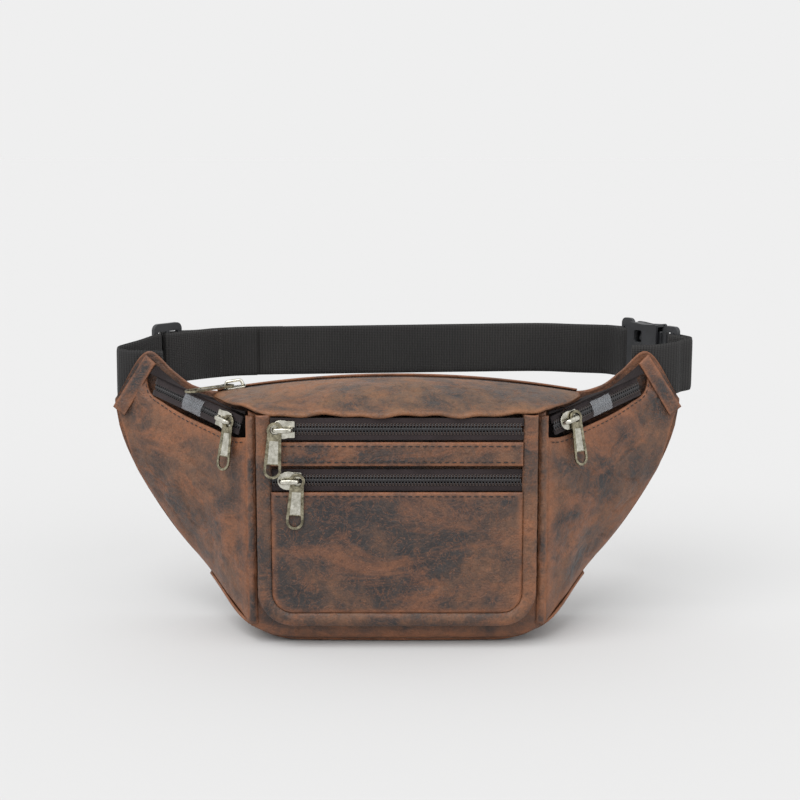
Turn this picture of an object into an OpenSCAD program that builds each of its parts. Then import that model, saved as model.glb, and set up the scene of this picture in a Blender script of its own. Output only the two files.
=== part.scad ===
// Leather waist pack on a webbing belt: leather shell, five coil zips, slide and side-release buckle.
// Millimetres. +Z is up, -Y is the front, and the pack stands on its flat bottom at z = 0.

/* [Pack] */
// Half width of the middle section, from the centre to each vertical seam
half_w = 100; // [90:1:110]
// Height of the zip ridge at the middle of the top
ridge_z = 176; // [172:1:182]
// Thickness of the leather
leather = 1.8; // [1.2:0.1:2.4]
// Thickness of the lining cloth
lining = 0.8; // [0.5:0.1:1]

/* [Zips] */
// Half width of the closed coil
coil_half = 3.4; // [3:0.1:3.8]
// Length of each slider body
slider_l = 16; // [14:0.5:18]
// Width of each slider body
slider_w = 12.6; // [12:0.2:13.4]
// Length of a pull, from its eye's centre to its tip
pull_l = 33; // [28:1:36]

/* [Belt] */
// Width of the webbing
web_w = 38; // [36:1:40]
// Thickness of the webbing
web_t = 1.6; // [1.2:0.1:1.8]

/* [Hidden] */

leather_colour = [0.30, 0.17, 0.11];
cloth_colour = [0.14, 0.10, 0.10];
brass_colour = [0.52, 0.48, 0.34];
black_colour = [0.10, 0.10, 0.10];

// ---- Outlines and surfaces of the shell -------------------------------------------------

// Lower and upper edge of the back panel, by distance from the middle
edge_low = [[0, 0], [68, 0], [84, 2.5], [100, 9.5], [113, 17], [124, 25], [141, 38], [157, 56], [174, 80],
    [190, 108], [200, 134], [203, 152]];
edge_high = [[0, 168], [110, 164], [130, 164], [145, 167.5], [160, 178], [177, 192], [203, 157]];
// How far forward the middle section stands at each height
front_profile = [[0, -27], [6, -32], [25, -35], [70, -37], [120, -36], [145, -34]];
tip_x = 203;
back_y = 32;
back_sweep = 15;

function low_z(x) = lookup(abs(x), edge_low);
function high_z(x) = lookup(abs(x), edge_high);
function back_surface(x) = back_y + back_sweep * pow(x / 200, 2);
function front_surface(x, z) = lookup(z, front_profile) - 3 * (1 - pow(x / half_w, 2));
// Upper edge of the front panel: it rises beside the front pocket
function front_top(x) = lookup(abs(x), [[0, 156], [84, 156.5], [half_w, 161]]);
// Front edge of the bottom: it runs back to the back panel beyond the seams
function bottom_front(x) = lookup(abs(x), [[0, -29], [half_w, -26], [135, 24]]);

// ---- Helpers ----------------------------------------------------------------------------

function unit(v) = v / norm(v);
function blend(a, b, t) = a * (1 - t) + b * t;
// A point along a list of points, t from 0 to 1
function along(p, t) = let (s = t * (len(p) - 1), i = min(floor(s), len(p) - 2))
    blend(p[i], p[i + 1], s - i);
function flatten(g) = [for (row = g) each row];
function grid_normal(g, i, j) = let (n = len(g) - 1, m = len(g[0]) - 1)
    unit(cross(g[min(i + 1, n)][j] - g[max(i - 1, 0)][j], g[i][min(j + 1, m)] - g[i][max(j - 1, 0)]));
function shifted(g, t) =
    [for (i = [0:len(g) - 1]) [for (j = [0:len(g[0]) - 1]) g[i][j] + t * grid_normal(g, i, j)]];

// Closed sheet: the grid is its outer face, and t its thickness behind that face
module sheet(g, t) {
    n = len(g);
    m = len(g[0]);
    k = n * m;
    quads = [for (i = [0:n - 2]) for (j = [0:m - 2])
        [i * m + j, (i + 1) * m + j, (i + 1) * m + j + 1, i * m + j + 1]];
    rim = concat([for (i = [0:n - 2]) [i * m, (i + 1) * m]],
        [for (j = [0:m - 2]) [(n - 1) * m + j, (n - 1) * m + j + 1]],
        [for (i = [n - 1:-1:1]) [i * m + m - 1, (i - 1) * m + m - 1]],
        [for (j = [m - 1:-1:1]) [j, j - 1]]);
    polyhedron(points = concat(flatten(g), flatten(shifted(g, -t))), faces = concat(
        [for (q = quads) [q[2], q[1], q[0]]], [for (q = quads) [q[3], q[2], q[0]]],
        [for (q = quads) [q[0] + k, q[1] + k, q[2] + k]], [for (q = quads) [q[0] + k, q[2] + k, q[3] + k]],
        [for (e = rim) [e[0], e[1], e[1] + k]], [for (e = rim) [e[0], e[1] + k, e[0] + k]]));
}

// Places a child whose x runs along a, y along b and z along c
module placed(p, a, b, c) {
    multmatrix([[a.x, b.x, c.x, p.x], [a.y, b.y, c.y, p.y], [a.z, b.z, c.z, p.z], [0, 0, 0, 1]]) children();
}

// ---- Shell ------------------------------------------------------------------------------

module back_panel() {
    steps = 24;
    color(leather_colour) sheet([for (i = [0:steps]) let (x = tip_x * (1 - 2 * i / steps))
        [for (j = [0:6]) [x, back_surface(x), blend(low_z(x) + 2.4, high_z(x), j / 6)]]], leather);
}

module front_panel() {
    color(leather_colour) sheet([for (i = [0:10]) let (x = half_w * (i / 5 - 1))
        [for (j = [0:10]) let (z = blend(low_z(x) + 2.4, front_top(x), j / 10))
            [x, front_surface(x, z), z]]], leather);
}

module bottom_gusset() {
    color(leather_colour) sheet([for (i = [0:20]) let (x = 135 * (i / 10 - 1))
        [for (j = [0:3]) [x, blend(back_surface(x), bottom_front(x), j / 3), low_z(x)]]], leather);
}

// Front wing leather between the seam, the lower edge, the tip and the zip
wing_low = [[half_w + 0.5, -30, 12], [118, -1, 23], [136, 26, 37], [157, 36.5, 59], [174, 39.5, 83],
    [190, 41.5, 110], [202, 43, 152]];
wing_high = [[half_w + 0.5, -34, 143], [113, -22.6, 141.5], [132, -5.9, 146], [150, 10, 151],
    [166, 24, 157.5],
    [177.5, 34.5, 165], [180, 40, 187]];
wing_bulge = 9;
function seam_point(v) = let (z = blend(12, 143, v)) [half_w + 0.5, front_surface(half_w, z) + 1, z];
function tip_point(v) = blend([202, 43, 152], [180, 40, 187], v);
function wing_point(u, v) = blend(along(wing_low, u), along(wing_high, u), v)
    + blend(seam_point(v), tip_point(v), u)
    - blend(blend(wing_low[0], wing_high[0], v), blend(wing_low[6], wing_high[6], v), u)
    + wing_bulge * sin(180 * v) * sin(180 * pow(u, 0.8)) * unit([0.5, -1, 0]);

module wing_panel() {
    color(leather_colour) sheet([for (i = [0:12]) [for (j = [0:8]) wing_point(i / 12, j / 8)]], leather);
}
module left_wing_panel() { mirror([1, 0, 0]) wing_panel(); }
module right_wing_panel() { wing_panel(); }

// Cloth top of a wing, from its zip back to the top panel and the back panel
wing_top_front = [[102, -30.5, 158], [176, 33.8, 177.2]];
wing_top_back = [[102, -33, 160], [112, -21, 161], [124, 0, 162.6], [132, 27, 161.5], [150, 32, 166.5],
    [164, 35, 176.5], [172, 36, 183]];
module wing_top() {
    color(cloth_colour) sheet([for (i = [0:12]) let (u = i / 12)
        [for (j = [0:3]) blend(along(wing_top_front, u), along(wing_top_back, u), j / 3)]], lining);
}
module left_wing_top() { mirror([1, 0, 0]) wing_top(); }
module right_wing_top() { wing_top(); }

// Top panel: its front edge hangs over the upper zip, and its rear edge follows the main zip
zip_y = 15;
zip_r = 750;
dome_half = 127;
function zip_z(x) = ridge_z - (zip_r - sqrt(zip_r * zip_r - x * x));
function dome_front(x) = lookup(abs(x), [[0, -49], [84, -47], [103, -38], [114, -23], [dome_half, 0]]);
function hem_z(x) =
    lookup(abs(x), [[0, 160.8], [70, 160.8], [88, 162.5], [104, 165.2], [dome_half, 165.2]]);
module top_front_panel() {
    color(leather_colour) sheet([for (i = [0:20]) let (x = dome_half * (i / 10 - 1))
        [for (j = [0:7]) let (v = j / 7)
            [x, blend(dome_front(x), zip_y - 7.2, v),
                blend(hem_z(x), zip_z(x) + 2.4, pow(sin(90 * v), 0.7))]]], leather);
}
module top_rear_strip() {
    color(leather_colour) sheet([for (i = [0:16]) let (x = dome_half * (i / 8 - 1))
        [for (j = [0:2]) let (v = j / 2) [x, blend(zip_y + 7.4, back_surface(x) - 2.6, v),
            blend(zip_z(x) + 2.9, high_z(x) + 0.6, v)]]], 1.2);
}

// Folded and stitched strip that covers each vertical seam
module seam_welt() {
    color(leather_colour) sheet([for (i = [0:2]) let (x = half_w + 3.5 * (i - 1.5))
        [for (j = [0:10]) let (z = blend(14, 158, j / 10))
            [x, front_surface(half_w, z) - (i == 1 ? 2.6 : 2.0) + (i == 2 ? 1 : 0), z]]], 1.2);
}
module left_seam_welt() { mirror([1, 0, 0]) seam_welt(); }
module right_seam_welt() { seam_welt(); }

// Front pocket: a lower panel, a strip between the zips and a rolled border round three sides
pocket_half = 84;
pocket_y = -46.5;
pocket_low = 25;
pocket_high = 108;
pocket_r = 14;
border_w = 9;
strip_low = 126;
strip_high = 142;

module rounded_bottom(half, low, high, r) {
    polygon(concat([[half, high], [-half, high]],
        [for (a = [180:15:270]) [-half + r + r * cos(a), low + r + r * sin(a)]],
        [for (a = [270:15:360]) [half - r + r * cos(a), low + r + r * sin(a)]]));
}
// Raises an outline drawn in x and z from y = back to y = front
module upright(front, back) {
    translate([0, back, 0]) rotate([90, 0, 0]) linear_extrude(back - front) children();
}
module pocket_panel() {
    color(leather_colour) upright(pocket_y, pocket_y + leather)
        rounded_bottom(pocket_half, pocket_low, pocket_high, pocket_r);
}
module pocket_strip() {
    color(leather_colour) translate([-pocket_half, pocket_y, strip_low])
        cube([2 * pocket_half, leather, strip_high - strip_low]);
}
module pocket_border() {
    color(leather_colour) upright(pocket_y + 0.4, pocket_y + 6) difference() {
        rounded_bottom(pocket_half + border_w, pocket_low - border_w, 160, pocket_r + border_w);
        rounded_bottom(pocket_half + 0.4, pocket_low - 0.4, 161, pocket_r + 0.4);
    }
}

// Leather binding on each tip, stitched through the webbing
module tip_patch() {
    color(leather_colour) sheet([for (i = [0:2]) let (u = i / 2)
        [for (j = [0:3]) let (v = j / 3)
            blend(blend([196, 37.6, 146], [172.5, 34.2, 184], v),
                blend([204.5, 40.8, 152], [179.5, 37.9, 190], v), u)]], 1.2);
}
module left_tip_patch() { mirror([1, 0, 0]) tip_patch(); }
module right_tip_patch() { tip_patch(); }

// Lining wall between the main compartment and each wing pocket
module pocket_divider() {
    color(cloth_colour) sheet([for (i = [0:3]) let (u = i / 3)
        [for (j = [0:4]) let (v = j / 4)
            [blend(97, 118, u), blend(-31.5, 28.5, u), blend(blend(12, 26, u), 154, v)]]], lining);
}
module left_pocket_divider() { mirror([1, 0, 0]) pocket_divider(); }
module right_pocket_divider() { pocket_divider(); }

// ---- Zips -------------------------------------------------------------------------------
// In a zip's own frame x runs along it, y across it and z out of it.

coil_gap = 0.6;
coil_h = 2.6;
tape_t = 0.8;
tape_half = 8;
plate_low = 1.8;
plate_high = 3.0;
bridge_z = 7.1;
bridge_r = 1.3;
post_x = 5.2;
eye_z = 4.4;
pull_t = 1.3;

module straight_tape(length, down, up) {
    color(cloth_colour) {
        translate([0, coil_half + 0.1, -tape_t / 2]) cube([length, up - coil_half - 0.1, tape_t]);
        translate([0, -down, -tape_t / 2]) cube([length, down - coil_half - 0.1, tape_t]);
    }
}
module straight_coil(length) {
    color(black_colour) for (s = [-1, 1])
        translate([0, s > 0 ? coil_gap : -coil_half, -coil_h / 2])
            cube([length, coil_half - coil_gap, coil_h]);
}
module slider_plate() {
    l = slider_l / 2;
    w = slider_w / 2;
    linear_extrude(plate_high - plate_low)
        polygon([[-l, -w + 2.2], [-l + 1.6, -w + 0.6], [-l + 4, -w], [l - 5, -w],
        [l - 2, -w + 1.4], [l, -w + 3.4], [l, w - 3.4], [l - 2, w - 1.4], [l - 5, w], [-l + 4, w],
        [-l + 1.6, w - 0.6], [-l, w - 2.2]]);
}
module slider() {
    color(brass_colour) {
        translate([0, 0, plate_low]) slider_plate();
        translate([0, 0, -plate_high]) slider_plate();
        for (s = [-1, 1]) for (c = [-1, 1])
            translate([-5, s * (slider_w / 2 - 0.8) - 0.8, c > 0 ? 0.8 : -2.4]) cube([10, 1.6, 1.6]);
        translate([3.5, -0.3, -2.4]) cube([3, 0.6, 4.8]);
        for (s = [-1, 1])
            translate([s * post_x, 0, plate_high - 0.4])
                cylinder(r = 1.2, h = bridge_z - plate_high + 0.4, $fn = 24);
        translate([-post_x - 1.6, -bridge_r, bridge_z - bridge_r])
            cube([2 * post_x + 3.2, 2 * bridge_r, 2 * bridge_r]);
    }
}
// Pull with its eye round a post at the origin, hanging towards -y
module pull() {
    color(brass_colour) translate([0, 0, -pull_t / 2]) linear_extrude(pull_t) difference() {
        union() {
            circle(r = 5.2, $fn = 40);
            polygon([[-3.9, -3.2], [-5, -pull_l + 6], [5, -pull_l + 6], [3.9, -3.2]]);
            translate([0, -pull_l + 5.4]) circle(r = 5.4, $fn = 40);
        }
        circle(r = 3.2, $fn = 40);
        translate([0, -pull_l + 5.4]) circle(r = 3.4, $fn = 40);
    }
}

// Straight zips on the front pocket
upper_zip_y = -45.6;
lower_zip_y = -43.5;
upper_zip_z = 151;
lower_zip_z = 116;
upper_slider_x = -75.6;
lower_slider_x = -71.6;
module on_upper(x) { placed([x, upper_zip_y, upper_zip_z], [1, 0, 0], [0, 0, 1], [0, -1, 0]) children(); }
module on_lower(x) { placed([x, lower_zip_y, lower_zip_z], [1, 0, 0], [0, 0, 1], [0, -1, 0]) children(); }

module upper_zip_tape() { on_upper(-pocket_half) straight_tape(2 * pocket_half, 7.4, 7.4); }
module upper_zip_coil() { on_upper(-pocket_half) straight_coil(2 * pocket_half); }
module upper_zip_slider() { on_upper(upper_slider_x) slider(); }
module upper_zip_pull() { on_upper(upper_slider_x - post_x) translate([0, 0, eye_z]) rotate(-4) pull(); }
module lower_zip_tape() { on_lower(-pocket_half) straight_tape(2 * pocket_half, 7.4, 7.4); }
module lower_zip_coil() { on_lower(-pocket_half) straight_coil(2 * pocket_half); }
module lower_zip_slider() { on_lower(lower_slider_x) slider(); }
module lower_zip_pull() { on_lower(lower_slider_x + post_x) translate([0, 0, eye_z]) rotate(-3) pull(); }

// Wing zips: straight lines that climb back to the tips
wing_zip_a = [108, -24, 150];
wing_zip_b = [177, 37, 169];
wing_along = unit(wing_zip_b - wing_zip_a);
wing_across = unit([0, 0.25, 0.97] - ([0, 0.25, 0.97] * wing_along) * wing_along);
wing_out = cross(wing_along, wing_across);
wing_zip_l = norm(wing_zip_b - wing_zip_a);
wing_slider_at = 10;
wing_hang = 12;
module on_wing(at) { placed(wing_zip_a + at * wing_along, wing_along, wing_across, wing_out) children(); }

module wing_tape() { on_wing(-4) straight_tape(wing_zip_l - 6, 6, 7); }
module wing_coil() { on_wing(-4) straight_coil(wing_zip_l - 3); }
module left_zip_tape() { mirror([1, 0, 0]) wing_tape(); }
module left_zip_coil() { mirror([1, 0, 0]) wing_coil(); }
module left_zip_slider() { mirror([1, 0, 0]) on_wing(wing_slider_at) mirror([1, 0, 0]) slider(); }
module left_zip_pull() {
    mirror([1, 0, 0]) on_wing(wing_slider_at - post_x) translate([0, 0, eye_z]) rotate(-wing_hang) pull();
}
module right_zip_tape() { wing_tape(); }
module right_zip_coil() { wing_coil(); }
module right_zip_slider() { on_wing(wing_slider_at) mirror([1, 0, 0]) slider(); }
module right_zip_pull() {
    on_wing(wing_slider_at + post_x) translate([0, 0, eye_z]) rotate(-wing_hang) pull();
}

// Main zip: an arc over the top, turning about an axis along y far below
main_zip_angle = 9.5;
main_slider_angle = 8.7;
module ring_sector(inner, outer, low, high) {
    translate([0, 0, ridge_z - zip_r]) rotate([90, 0, 0]) rotate([0, 0, 90 - main_zip_angle])
        translate([0, 0, -high]) rotate_extrude(angle = 2 * main_zip_angle, $fn = 360)
            translate([inner, 0]) square([outer - inner, high - low]);
}
module main_zip_tape() {
    color(cloth_colour) for (s = [-1, 1])
        ring_sector(zip_r - tape_t / 2, zip_r + tape_t / 2,
            zip_y + (s > 0 ? coil_half + 0.1 : -8.5), zip_y + (s > 0 ? 6.8 : -coil_half - 0.1));
}
module main_zip_coil() {
    color(black_colour) for (s = [-1, 1])
        ring_sector(zip_r - coil_h / 2, zip_r + coil_h / 2,
            zip_y + (s > 0 ? coil_gap : -coil_half), zip_y + (s > 0 ? coil_half : -coil_gap));
}
module on_main(angle) {
    translate([0, zip_y, ridge_z - zip_r]) rotate([0, angle, 0]) translate([0, 0, zip_r]) children();
}
module main_zip_slider() { on_main(-main_slider_angle) mirror([1, 0, 0]) slider(); }
module main_zip_pull() {
    on_main(-main_slider_angle) translate([-post_x, 0, eye_z]) rotate([0, 6, 0]) rotate(-52) pull();
}

// ---- Belt -------------------------------------------------------------------------------

belt_low = 160;
// Webbing on edge along points [x, y, rise], as one swept ribbon
function turn(p, i) =
    let (a = p[max(i - 1, 0)], b = p[min(i + 1, len(p) - 1)]) unit([b.x - a.x, b.y - a.y]);
module webbing(p) {
    color(black_colour) sheet([for (i = [0:len(p) - 1]) let (d = turn(p, i))
        [for (j = [0:1])
            [p[i].x + d.y * web_t / 2, p[i].y - d.x * web_t / 2, belt_low + p[i].z + j * web_w]]], web_t);
}
// Maps points [s, q, rise] of a frame at o that runs along d to the pack's frame
function mapped(p, o, d) =
    [for (v = p) [o.x + d.x * v[0] - d.y * v[1], o.y + d.y * v[0] + d.x * v[1], v[2]]];
// Half a turn of webbing round a bar at the frame's origin, from one side to the other
function round_bar(r, rise) = [for (a = [-80:20:80]) [-r * cos(a), r * sin(a), rise]];

// Slide on the left: s runs towards the rear belt and q out of the loop
slide_at = [-173, 98];
slide_dir = unit([-0.62, -0.78]) * -1;
slide_rise = 1;
// Buckle on the right: s runs from the male half to the female half and q into the loop
buckle_at = [197, 79];
buckle_dir = unit([-30, 50]);
buckle_rise = 3;
bar_r = 2;

left_path = concat(
    [[-168, 43.8, -6], [-182, 45.6, -6], [-193, 47.9, -6], [-200, 51, -5.5], [-202.6, 55, -5],
        [-202.3, 59, -4.5], [-200.5, 63, -4]],
    mapped([[-30, -3, -1.5], [-14, -2.7, slide_rise], [-10, -2.7, slide_rise],
        [-6.4, 0, slide_rise], [-4.9, 3.2, slide_rise], [-1.8, 5.3, slide_rise], [1.5, 5.3, slide_rise],
        [6, 4.4, slide_rise], [10, 3.2, slide_rise], [15, 2.8, slide_rise]],
        slide_at, slide_dir),
    [[-154, 125.5, 0], [-142, 136.5, 0], [-124, 145.6, 0], [-106, 149.2, 0], [-90, 150.6, 0]]);
rear_path = concat(
    [[-110, 144.6, 0], [-127, 140.6, 0], [-142, 131, 0]],
    mapped([[18, -5.1, slide_rise], [12, -5.1, slide_rise], [5, -4.2, slide_rise]], slide_at, slide_dir),
    mapped([for (v = round_bar(3.1, slide_rise)) v], slide_at, slide_dir),
    mapped([[3.4, 2.2, slide_rise], [7, -1.2, slide_rise], [10, -2.9, slide_rise], [18, -3.2, slide_rise]],
        slide_at, slide_dir),
    [[-140.5, 133.2, 0], [-126, 143, 0], [-108, 147, 0], [-60, 150, 0.3], [0, 151, 1], [60, 150, 2],
        [110, 146, 3], [138, 138.5, 3]],
    mapped([[66, 5, buckle_rise], [57, 2, buckle_rise], [50, 2.4, buckle_rise], [46, 2.9, buckle_rise]],
        buckle_at, buckle_dir),
    mapped([for (a = [80:-20:-80]) [42 - 3.1 * cos(a), 3.1 * sin(a), buckle_rise]], buckle_at, buckle_dir),
    mapped([[46, -2.9, buckle_rise], [50, -2.4, buckle_rise], [57, -0.4, buckle_rise],
        [65, 2.4, buckle_rise]],
        buckle_at, buckle_dir));
right_path = concat(
    [[168, 43.8, -2], [182, 45.6, -2], [194, 47.9, -1], [202, 50.5, 0], [205.6, 54.5, 0.6]],
    mapped([[-26, -3.6, 2], [-14, -3.1, buckle_rise]], buckle_at, buckle_dir),
    mapped([for (a = [-80:20:80]) [-10 + 3.1 * cos(a), 3.1 * sin(a), buckle_rise]], buckle_at, buckle_dir),
    mapped([[-14, 3.1, buckle_rise], [-17, 2.8, buckle_rise], [-25, -0.6, 2.2]], buckle_at, buckle_dir));

module left_webbing() { webbing(left_path); }
module rear_webbing() { webbing(rear_path); }
module right_webbing() { webbing(right_path); }

// Stands a flat part on edge: its x runs along d, its y up and its z out of the loop
module on_edge(o, d, rise) {
    placed([o.x, o.y, belt_low + rise + web_w / 2], [d.x, d.y, 0], [0, 0, 1], [d.y, -d.x, 0]) children();
}
module rounded_plate(x0, x1, half, r, t) {
    translate([0, 0, -t / 2]) linear_extrude(t) union() {
        translate([x0 + r, -half]) square([x1 - x0 - 2 * r, 2 * half]);
        translate([x0, -half + r]) square([x1 - x0, 2 * (half - r)]);
        for (x = [x0 + r, x1 - r]) for (s = [-1, 1]) translate([x, s * (half - r)]) circle(r = r, $fn = 24);
    }
}
module slot(x0, x1, half) { translate([x0, -half, -10]) cube([x1 - x0, 2 * half, 20]); }

slot_half = web_w / 2 + 1;
module belt_slide() {
    color(black_colour) on_edge(slide_at, slide_dir, slide_rise) {
        difference() {
            rounded_plate(-14, 14, slot_half + 6, 5, 3);
            slot(-10, 10, slot_half);
        }
        translate([0, slot_half + 0.5, 0]) rotate([90, 0, 0])
            cylinder(r = bar_r, h = 2 * slot_half + 1, $fn = 24);
    }
}

// Female half: a flat sleeve with a hollow, two windows for the prongs and a bar for the belt
mouth = 3;
sleeve_end = 33;
module buckle_female() {
    color(black_colour) on_edge(buckle_at, buckle_dir, buckle_rise) {
        difference() {
            rounded_plate(mouth, sleeve_end + 3, 25, 3, 11);
            translate([mouth - 1, -22, -3.6]) cube([sleeve_end - mouth, 44, 7.2]);
            for (s = [-1, 1]) translate([19, s * 14.5 - 4.5, -10]) cube([9, 9, 20]);
        }
        difference() {
            rounded_plate(sleeve_end + 1, 47.6, 26.5, 4, 2.4);
            slot(sleeve_end + 4, 45, slot_half);
        }
        translate([42, slot_half + 0.5, 0]) rotate([90, 0, 0])
            cylinder(r = bar_r, h = 2 * slot_half + 1, $fn = 24);
    }
}
// Male half: a frame with a bar for the webbing and a central guide
module buckle_male() {
    color(black_colour) on_edge(buckle_at, buckle_dir, buckle_rise) {
        difference() {
            rounded_plate(-16, 0, slot_half + 4.5, 4, 3.2);
            slot(-13, -4, slot_half);
        }
        translate([-10, slot_half + 0.5, 0]) rotate([90, 0, 0])
            cylinder(r = bar_r, h = 2 * slot_half + 1, $fn = 24);
        translate([-1, -3, -2]) cube([26, 6, 4]);
    }
}
// One springy prong: it bulges outside the mouth and hooks into the window
prong_pivot = 0.6;
prong_z = 10;
module prong() {
    color(black_colour) translate([0, 0, -2]) linear_extrude(4) union() {
        polygon([[1.2, 7.5], [1.2, 19], [2.6, 19.8],
            [6, 18.6], [19.4, 16.4], [19.4, 18.6], [24, 16.2], [26.4, 12.4],
            [24.6, 11], [19, 12.4], [6, 12.6], [3, 7.5]]);
    }
}
module buckle_prong_upper() { on_edge(buckle_at, buckle_dir, buckle_rise) prong(); }
module buckle_prong_lower() { on_edge(buckle_at, buckle_dir, buckle_rise) mirror([0, 1, 0]) prong(); }

// ---- Parts ------------------------------------------------------------------------------

back_panel();
front_panel();
bottom_gusset();
top_front_panel();
top_rear_strip();
left_wing_panel();
right_wing_panel();
left_wing_top();
right_wing_top();
left_seam_welt();
right_seam_welt();
pocket_panel();
pocket_strip();
pocket_border();
left_tip_patch();
right_tip_patch();
left_pocket_divider();
right_pocket_divider();
main_zip_tape();
main_zip_coil();
main_zip_slider();
main_zip_pull();
upper_zip_tape();
upper_zip_coil();
upper_zip_slider();
upper_zip_pull();
lower_zip_tape();
lower_zip_coil();
lower_zip_slider();
lower_zip_pull();
left_zip_tape();
left_zip_coil();
left_zip_slider();
left_zip_pull();
right_zip_tape();
right_zip_coil();
right_zip_slider();
right_zip_pull();
left_webbing();
rear_webbing();
right_webbing();
belt_slide();
buckle_female();
buckle_male();
buckle_prong_upper();
buckle_prong_lower();
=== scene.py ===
"""Leather waist pack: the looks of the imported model, in the same frame, in metres."""

import math

import bpy
import numpy as np
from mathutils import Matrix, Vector, noise


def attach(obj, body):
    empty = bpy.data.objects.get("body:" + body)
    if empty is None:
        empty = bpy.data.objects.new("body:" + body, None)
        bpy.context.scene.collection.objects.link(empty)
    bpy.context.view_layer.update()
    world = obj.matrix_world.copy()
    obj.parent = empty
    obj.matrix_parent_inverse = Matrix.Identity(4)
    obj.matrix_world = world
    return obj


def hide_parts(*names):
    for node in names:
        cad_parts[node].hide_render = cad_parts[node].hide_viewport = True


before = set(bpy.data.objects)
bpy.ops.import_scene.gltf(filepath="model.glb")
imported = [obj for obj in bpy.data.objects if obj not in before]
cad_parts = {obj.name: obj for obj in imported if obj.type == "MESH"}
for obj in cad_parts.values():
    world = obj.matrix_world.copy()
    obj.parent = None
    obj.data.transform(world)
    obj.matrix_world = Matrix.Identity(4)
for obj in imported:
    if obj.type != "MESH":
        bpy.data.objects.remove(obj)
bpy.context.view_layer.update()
MM = 0.001

# Sheet thicknesses in millimetres, and the edges of a panel that aren't held flat
LEATHER_T, THIN_T, CLOTH_T, TAPE_T, FILM_T = 1.8, 1.2, 0.8, 0.7, 0.15
FREE = (0, 0, 0, 0)

# ---------------------------------------------------------------- materials


class Graph:
    """A small helper that adds shader nodes and links them."""

    def __init__(self, name):
        self.mat = bpy.data.materials.new(name)
        self.mat.use_nodes = True
        self.tree = self.mat.node_tree
        self.bsdf = self.tree.nodes["Principled BSDF"]
        self.coord = self.tree.nodes.new("ShaderNodeTexCoord")

    def add(self, kind, **values):
        node = self.tree.nodes.new("ShaderNode" + kind)
        for key, value in values.items():
            if hasattr(node, key):
                setattr(node, key, value)
            else:
                self.set(node, key.replace("_", " "), value)
        return node

    def set(self, node, key, value):
        socket = node.inputs[int(key)] if key.isdigit() else node.inputs[key]
        if isinstance(value, bpy.types.NodeSocket):
            self.tree.links.new(value, socket)
        else:
            socket.default_value = value

    def place(self, scale=(1, 1, 1), turn=(0, 0, 0), source="Object"):
        node = self.add("Mapping")
        self.set(node, "Scale", scale)
        self.set(node, "Rotation", turn)
        self.set(node, "Vector", self.coord.outputs[source])
        return node.outputs[0]

    def noise(self, scale, detail=3.0, rough=0.5, vector=None, twist=0.0):
        node = self.add("TexNoise")
        self.set(node, "Scale", scale)
        self.set(node, "Detail", detail)
        self.set(node, "Roughness", rough)
        self.set(node, "Distortion", twist)
        self.set(node, "Vector", vector or self.coord.outputs["Object"])
        return node.outputs["Fac"]

    def ramp(self, fac, stops):
        node = self.add("ValToRGB")
        while len(node.color_ramp.elements) < len(stops):
            node.color_ramp.elements.new(0.5)
        for element, (at, colour) in zip(node.color_ramp.elements, stops):
            element.position = at
            element.color = (*colour, 1) if isinstance(colour, tuple) else (colour, colour, colour, 1)
        self.set(node, "Fac", fac)
        return node.outputs["Color"]

    def mix(self, fac, a, b, mode="MIX"):
        node = self.add("Mix", data_type="RGBA", blend_type=mode)
        for at, value in ((0, fac), (6, a), (7, b)):
            if isinstance(value, tuple):
                value = (*value, 1)
            self.set(node, str(at), value)
        return node.outputs[2]

    def math(self, kind, a, b=0.5):
        node = self.add("Math", operation=kind)
        self.set(node, "0", a)
        self.set(node, "1", b)
        return node.outputs[0]

    def bump(self, height, strength, distance, normal=None):
        node = self.add("Bump")
        self.set(node, "Strength", strength)
        self.set(node, "Distance", distance)
        self.set(node, "Height", height)
        if normal:
            self.set(node, "Normal", normal)
        return node.outputs[0]

    def out(self, **values):
        for key, value in values.items():
            name = key.replace("_", " ")
            if isinstance(value, tuple):
                value = (*value, 1)
            self.set(self.bsdf, name, value)
        return self.mat


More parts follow.
